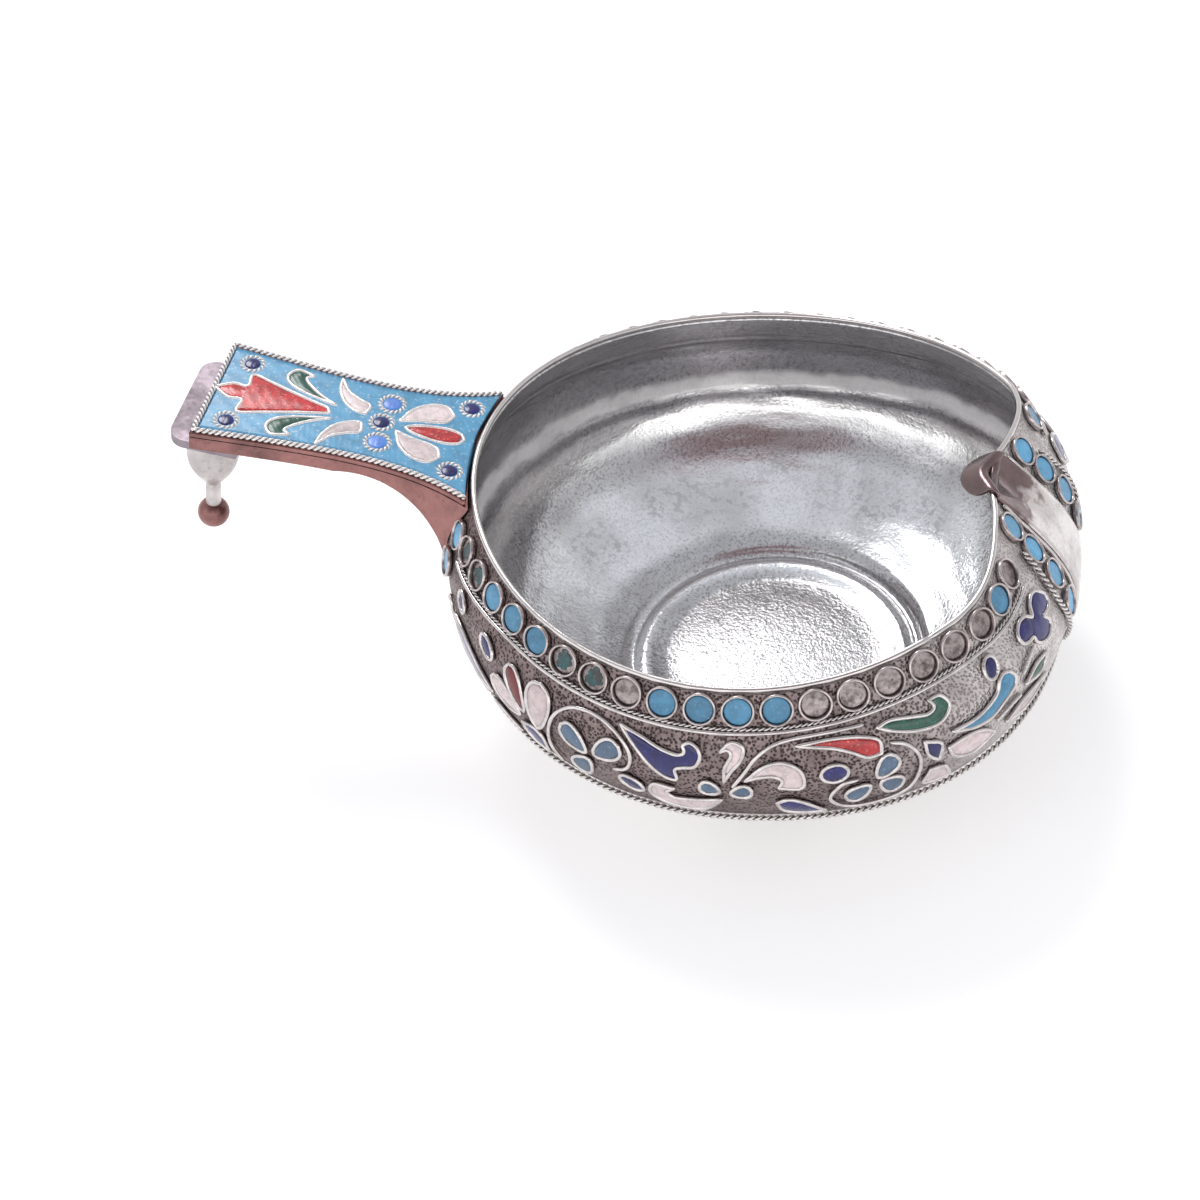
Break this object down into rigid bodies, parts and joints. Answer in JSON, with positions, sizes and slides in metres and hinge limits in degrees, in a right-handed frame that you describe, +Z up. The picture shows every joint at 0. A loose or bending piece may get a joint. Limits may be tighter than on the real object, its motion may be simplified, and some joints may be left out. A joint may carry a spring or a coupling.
{
  "type": "enamel kovsh",
  "caption": "Small round silver kovsh with a pinched prow and a raised flat handle, covered in wire cells of coloured enamel, with a hook under the handle's end.",
  "frame": {"origin": "centre of the foot ring, on the plane that the cup stands on", "axes": "+Z up, +X towards the prow with the handle towards -X, +Y towards the left side"},
  "size_m": [0.0821, 0.057, 0.0303],
  "materials": {
    "satin_silver": "hammered satin silver, darker in the grooves",
    "polished_silver": "polished silver",
    "rose_silver": "worn silver-gilt with a rose tone",
    "silver_wire": "bright drawn silver wire",
    "turquoise_enamel": "opaque turquoise enamel",
    "worn_enamel": "chipped dark teal enamel",
    "white_enamel": "grainy white enamel",
    "cobalt_enamel": "dark cobalt enamel",
    "cornflower_enamel": "cornflower blue enamel",
    "red_enamel": "translucent red enamel over foil",
    "dark_red_enamel": "dark red enamel",
    "green_enamel": "dark green enamel",
    "grey_blue_enamel": "grey-blue enamel"
  },
  "bodies": {
    "root": {"bowl": "satin_silver", "foot_ring": "satin_silver", "rim_lip": "polished_silver", "band_rope": "silver_wire", "band_wire": "silver_wire", "dot_collars": "silver_wire", "dots_turquoise": "turquoise_enamel", "dots_worn": "worn_enamel", "prow_strip": "polished_silver", "prow_edge_wires": "silver_wire", "prow_ropes": "silver_wire", "column_collars": "silver_wire", "column_dots": "turquoise_enamel", "lower_rope": "silver_wire", "leaf_wires": "silver_wire", "stem_wires": "silver_wire", "leaves_white": "white_enamel", "leaves_cobalt": "cobalt_enamel", "leaves_red": "red_enamel", "leaves_dark_red": "dark_red_enamel", "leaves_green": "green_enamel", "leaves_turquoise": "turquoise_enamel", "petals_grey_blue": "grey_blue_enamel", "drops_cobalt": "cobalt_enamel", "handle_bracket": "rose_silver", "handle_tray": "rose_silver", "handle_ground": "turquoise_enamel", "handle_rope": "silver_wire", "handle_wires": "silver_wire", "handle_dot_rings": "silver_wire", "handle_red": "red_enamel", "handle_green": "green_enamel", "handle_white": "white_enamel", "handle_cobalt_dots": "cobalt_enamel", "handle_blue_dots": "cornflower_enamel", "end_lip": "satin_silver", "hook_flare": "satin_silver", "hook_stem": "satin_silver", "hook_ball": "rose_silver"}
  },
  "joints": []
}
